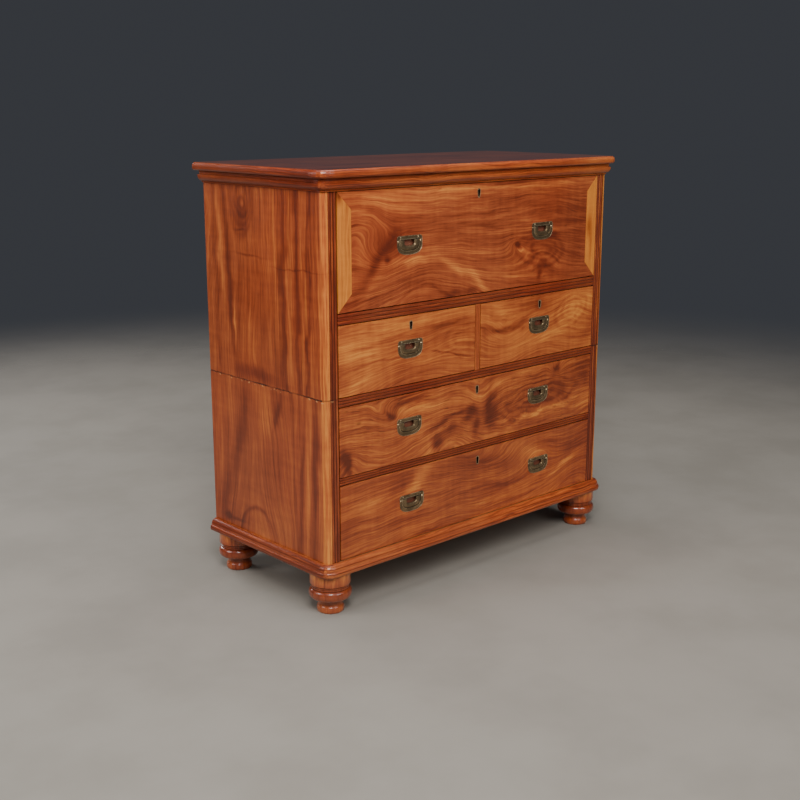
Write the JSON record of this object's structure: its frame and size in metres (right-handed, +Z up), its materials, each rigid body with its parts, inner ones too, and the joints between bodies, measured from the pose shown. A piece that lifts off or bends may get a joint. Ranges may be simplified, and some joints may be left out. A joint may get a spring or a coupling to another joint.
{
  "type": "campaign secretaire chest",
  "caption": "Stacking campaign chest of drawers with reeded posts, recessed brass bail handles, a fall-front writing drawer with pigeonholes, and turned feet.",
  "frame": {"origin": "on the floor under the middle of the top board, which sets the box in plan", "axes": "+X to the right of someone facing the drawers, +Y from the front to the back, +Z up"},
  "size_m": [1.1, 0.518, 1.1],
  "materials": {
    "case_wood": "polished, reddish brown",
    "front_wood": "polished, figured orange brown",
    "clamp_wood": "polished, light honey brown",
    "inside_wood": "plain, unpolished",
    "aged_brass": "aged, dark",
    "bright_brass": "satin",
    "leather": "tooled, dark green"
  },
  "bodies": {
    "lower_case": {"lower_side_left": "case_wood", "lower_side_right": "case_wood", "lower_back_panel": "inside_wood", "lower_bottom_board": "inside_wood", "lower_dust_board": "case_wood", "lower_deck": "case_wood", "plinth_moulding": "case_wood", "foot_front_left": "case_wood", "foot_front_right": "case_wood", "foot_back_left": "case_wood", "foot_back_right": "case_wood"},
    "upper_case": {"upper_side_left": "case_wood", "upper_side_right": "case_wood", "upper_back_panel": "inside_wood", "upper_bottom_board": "inside_wood", "upper_dust_board": "case_wood", "centre_divider": "case_wood", "top_board": "case_wood", "cornice_moulding": "case_wood"},
    "secretaire_drawer": {"secretaire_bed": "inside_wood", "secretaire_side_left": "inside_wood", "secretaire_side_right": "inside_wood", "secretaire_back": "inside_wood", "pigeonhole_unit": "inside_wood", "little_drawer_shelf": "inside_wood", "fall_hinge_left": "bright_brass", "fall_hinge_right": "bright_brass"},
    "little_drawer_left": {"little_drawer_left": "front_wood"},
    "little_drawer_right": {"little_drawer_right": "front_wood"},
    "fall": {"fall_panel": "front_wood", "fall_clamp_left": "clamp_wood", "fall_clamp_right": "clamp_wood", "writing_leather": "leather", "fall_lock": "bright_brass", "quadrant_stay_left": "bright_brass", "quadrant_stay_right": "bright_brass", "fall_left_plate": "aged_brass", "fall_right_plate": "aged_brass"},
    "fall_left_bail": {"fall_left_bail": "aged_brass"},
    "fall_right_bail": {"fall_right_bail": "aged_brass"},
    "small_drawer_left": {"small_drawer_left_front": "front_wood", "small_drawer_left_box": "inside_wood", "small_drawer_left_plate": "aged_brass"},
    "small_drawer_left_bail": {"small_drawer_left_bail": "aged_brass"},
    "small_drawer_right": {"small_drawer_right_front": "front_wood", "small_drawer_right_box": "inside_wood", "small_drawer_right_plate": "aged_brass"},
    "small_drawer_right_bail": {"small_drawer_right_bail": "aged_brass"},
    "upper_long_drawer": {"upper_long_drawer_front": "front_wood", "upper_long_drawer_box": "inside_wood", "upper_long_drawer_left_plate": "aged_brass", "upper_long_drawer_right_plate": "aged_brass"},
    "upper_long_drawer_left_bail": {"upper_long_drawer_left_bail": "aged_brass"},
    "upper_long_drawer_right_bail": {"upper_long_drawer_right_bail": "aged_brass"},
    "lower_long_drawer": {"lower_long_drawer_front": "front_wood", "lower_long_drawer_box": "inside_wood", "lower_long_drawer_left_plate": "aged_brass", "lower_long_drawer_right_plate": "aged_brass"},
    "lower_long_drawer_left_bail": {"lower_long_drawer_left_bail": "aged_brass"},
    "lower_long_drawer_right_bail": {"lower_long_drawer_right_bail": "aged_brass"}
  },
  "joints": [
    {"name": "upper_case_lift", "type": "slide", "parent": "lower_case", "child": "upper_case", "axis": [0, 0, 1], "range_m": [0, 0.1]},
    {"name": "secretaire_slide", "type": "slide", "parent": "upper_case", "child": "secretaire_drawer", "axis": [0, -1, 0], "range_m": [0, 0.26]},
    {"name": "fall_hinge", "type": "hinge", "parent": "secretaire_drawer", "child": "fall", "pos_m": [0, -0.227, 0.77], "axis": [1, 0, 0], "range_deg": [0, 90]},
    {"name": "little_drawer_left_slide", "type": "slide", "parent": "secretaire_drawer", "child": "little_drawer_left", "axis": [0, -1, 0], "range_m": [0, 0.14]},
    {"name": "little_drawer_right_slide", "type": "slide", "parent": "secretaire_drawer", "child": "little_drawer_right", "axis": [0, -1, 0], "range_m": [0, 0.14]},
    {"name": "small_drawer_left_slide", "type": "slide", "parent": "upper_case", "child": "small_drawer_left", "axis": [0, -1, 0], "range_m": [0, 0.33]},
    {"name": "small_drawer_right_slide", "type": "slide", "parent": "upper_case", "child": "small_drawer_right", "axis": [0, -1, 0], "range_m": [0, 0.33]},
    {"name": "upper_long_drawer_slide", "type": "slide", "parent": "lower_case", "child": "upper_long_drawer", "axis": [0, -1, 0], "range_m": [0, 0.35]},
    {"name": "lower_long_drawer_slide", "type": "slide", "parent": "lower_case", "child": "lower_long_drawer", "axis": [0, -1, 0], "range_m": [0, 0.35]},
    {"name": "fall_left_bail_swing", "type": "hinge", "parent": "fall", "child": "fall_left_bail", "pos_m": [-0.248, -0.2308, 0.9165], "axis": [-1, 0, 0], "range_deg": [0, 90]},
    {"name": "fall_right_bail_swing", "type": "hinge", "parent": "fall", "child": "fall_right_bail", "pos_m": [0.248, -0.2308, 0.9165], "axis": [-1, 0, 0], "range_deg": [0, 90]},
    {"name": "small_drawer_left_bail_swing", "type": "hinge", "parent": "small_drawer_left", "child": "small_drawer_left_bail", "pos_m": [-0.245, -0.2308, 0.656], "axis": [-1, 0, 0], "range_deg": [0, 90]},
    {"name": "small_drawer_right_bail_swing", "type": "hinge", "parent": "small_drawer_right", "child": "small_drawer_right_bail", "pos_m": [0.245, -0.2308, 0.656], "axis": [-1, 0, 0], "range_deg": [0, 90]},
    {"name": "upper_long_drawer_left_bail_swing", "type": "hinge", "parent": "upper_long_drawer", "child": "upper_long_drawer_left_bail", "pos_m": [-0.248, -0.2308, 0.4545], "axis": [-1, 0, 0], "range_deg": [0, 90]},
    {"name": "upper_long_drawer_right_bail_swing", "type": "hinge", "parent": "upper_long_drawer", "child": "upper_long_drawer_right_bail", "pos_m": [0.248, -0.2308, 0.4545], "axis": [-1, 0, 0], "range_deg": [0, 90]},
    {"name": "lower_long_drawer_left_bail_swing", "type": "hinge", "parent": "lower_long_drawer", "child": "lower_long_drawer_left_bail", "pos_m": [-0.239, -0.2308, 0.2485], "axis": [-1, 0, 0], "range_deg": [0, 90]},
    {"name": "lower_long_drawer_right_bail_swing", "type": "hinge", "parent": "lower_long_drawer", "child": "lower_long_drawer_right_bail", "pos_m": [0.257, -0.2308, 0.2485], "axis": [-1, 0, 0], "range_deg": [0, 90]}
  ]
}
